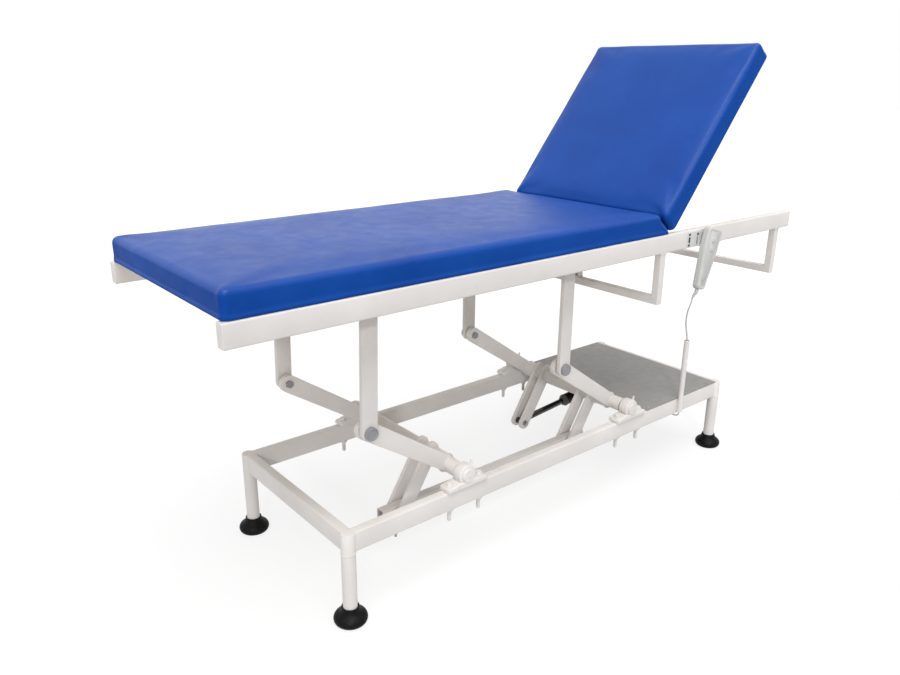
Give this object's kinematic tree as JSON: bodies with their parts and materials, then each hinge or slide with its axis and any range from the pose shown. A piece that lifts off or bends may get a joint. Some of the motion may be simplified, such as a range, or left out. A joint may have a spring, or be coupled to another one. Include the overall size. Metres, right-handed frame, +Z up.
{
  "type": "examination table",
  "caption": "Powered hi-lo examination table: padded top on a parallel-arm lift over a low base frame, with tilting backrest and a wired handset on the rail.",
  "frame": {"origin": "on the floor, midway between the four feet", "axes": "+X towards the head end, +Z up, -Y towards the side with the handset"},
  "size_m": [1.94, 0.635, 1.2892],
  "materials": {
    "frame_white": "warm off-white powder coat, satin",
    "plate_grey": "mid grey paint, satin",
    "blue_vinyl": "smooth blue vinyl-coated fabric, semi-gloss",
    "black_rubber": "moulded black rubber",
    "plywood": "plain plywood",
    "bare_steel": "zinc-plated steel",
    "cap_grey": "grey caps, satin",
    "black_plastic": "black, satin",
    "grey_plastic": "light grey moulding, matt",
    "white_plastic": "off-white moulding, matt"
  },
  "bodies": {
    "base": {"base_rail_left": "frame_white", "base_rail_right": "frame_white", "base_rail_foot": "frame_white", "base_rail_head": "frame_white", "legs": "frame_white", "ferrules": "black_rubber", "base_plate": "plate_grey", "plate_screws": "bare_steel", "bearing_foot_left": "frame_white", "bearing_foot_right": "frame_white", "bearing_head_left": "frame_white", "bearing_head_right": "frame_white", "bearing_bolts": "frame_white", "earth_stud": "bare_steel", "conduit": "frame_white", "inner_cord": "grey_plastic", "control_box": "plate_grey", "mains_inlet": "black_plastic", "actuator_bracket": "frame_white"},
    "foot_arms": {"torque_tube_foot": "frame_white", "arms_foot": "frame_white", "levers_foot": "frame_white", "lever_pin_foot": "bare_steel", "pivot_pins_foot": "cap_grey"},
    "head_arms": {"torque_tube_head": "frame_white", "arms_head": "frame_white", "levers_head": "frame_white", "lever_pins_head": "bare_steel", "pivot_pins_head": "cap_grey"},
    "tie_bar": {"tie_bar": "frame_white"},
    "top_frame": {"top_rail_left": "frame_white", "top_rail_right": "frame_white", "rail_plugs": "white_plastic", "cross_members": "frame_white", "struts": "frame_white", "hoop_foot": "frame_white", "hoop_head": "frame_white", "hinge_lugs": "frame_white", "gas_spring_bracket": "frame_white", "seat_board": "plywood", "seat_cushion": "blue_vinyl", "handset_clip": "grey_plastic"},
    "backrest": {"backrest_rails": "frame_white", "backrest_crossbars": "frame_white", "backrest_board": "plywood", "backrest_cushion": "blue_vinyl", "hinge_pins": "bare_steel", "backrest_bracket": "frame_white"},
    "gas_cylinder": {"gas_spring_cylinder": "black_plastic"},
    "gas_rod": {"gas_spring_rod": "bare_steel"},
    "actuator_rod": {"actuator_rod": "black_plastic"},
    "actuator_body": {"actuator_tube": "black_plastic", "actuator_collar": "white_plastic", "actuator_housing": "black_plastic", "actuator_motor": "black_plastic"},
    "handset": {"handset_shell": "grey_plastic", "strain_relief": "grey_plastic", "handset_cord": "grey_plastic"},
    "up_button": {"handset_up_button": "grey_plastic"},
    "down_button": {"handset_down_button": "grey_plastic"}
  },
  "joints": [
    {"name": "lift", "type": "hinge", "parent": "base", "child": "foot_arms", "pos_m": [-0.378, 0, 0.263], "axis": [0, 1, 0], "range_deg": [-50, 0], "deforming": ["handset_cord"]},
    {"name": "lift_head", "type": "hinge", "parent": "base", "child": "head_arms", "pos_m": [0.261, 0, 0.263], "axis": [0, 1, 0], "range_deg": [-50, 0]},
    {"name": "frame_level", "type": "hinge", "parent": "foot_arms", "child": "top_frame", "pos_m": [-0.62612, 0, 0.43162], "axis": [0, 1, 0], "range_deg": [0, 50]},
    {"name": "tie_level", "type": "hinge", "parent": "foot_arms", "child": "tie_bar", "pos_m": [-0.47468, -0.09, 0.12074], "axis": [0, 1, 0], "range_deg": [0, 50]},
    {"name": "rod_swing", "type": "hinge", "parent": "head_arms", "child": "actuator_rod", "pos_m": [0.16432, 0.107, 0.12074], "axis": [0, 1, 0], "range_deg": [0, 44.69]},
    {"name": "rod_slide", "type": "slide", "parent": "actuator_rod", "child": "actuator_body", "axis": [0.9964, 0, 0.085], "range_m": [-0.13947, 0]},
    {"name": "backrest_tilt", "type": "hinge", "parent": "top_frame", "child": "backrest", "pos_m": [0.32488, 0, 0.77212], "axis": [0, -1, 0], "range_deg": [-51, 6]},
    {"name": "gas_cylinder_swing", "type": "hinge", "parent": "top_frame", "child": "gas_cylinder", "pos_m": [0.28088, 0, 0.63162], "axis": [0, -1, 0], "range_deg": [-25.5, 3]},
    {"name": "gas_rod_swing", "type": "hinge", "parent": "backrest", "child": "gas_rod", "pos_m": [0.4376, 0, 0.86683], "axis": [0, -1, 0], "range_deg": [-3, 25.5]},
    {"name": "handset_lift_off", "type": "slide", "parent": "top_frame", "child": "handset", "axis": [0, 0, 1], "range_m": [0, 0.03]},
    {"name": "up_press", "type": "slide", "parent": "handset", "child": "up_button", "axis": [0, 1, 0], "range_m": [0, 0.0015], "stiffness_N_per_m": 400},
    {"name": "down_press", "type": "slide", "parent": "handset", "child": "down_button", "axis": [0, 1, 0], "range_m": [0, 0.0015], "stiffness_N_per_m": 400}
  ],
  "couplings": [
    {"joint": "lift_head", "follows": "lift", "ratio": 1},
    {"joint": "frame_level", "follows": "lift", "ratio": -1},
    {"joint": "tie_level", "follows": "lift", "ratio": -1},
    {"joint": "rod_swing", "follows": "lift", "ratio": -0.89355},
    {"joint": "rod_slide", "follows": "lift", "m_per_rad": 0.15971},
    {"joint": "gas_cylinder_swing", "follows": "backrest_tilt", "ratio": 0.5},
    {"joint": "gas_rod_swing", "follows": "backrest_tilt", "ratio": -0.5}
  ]
}
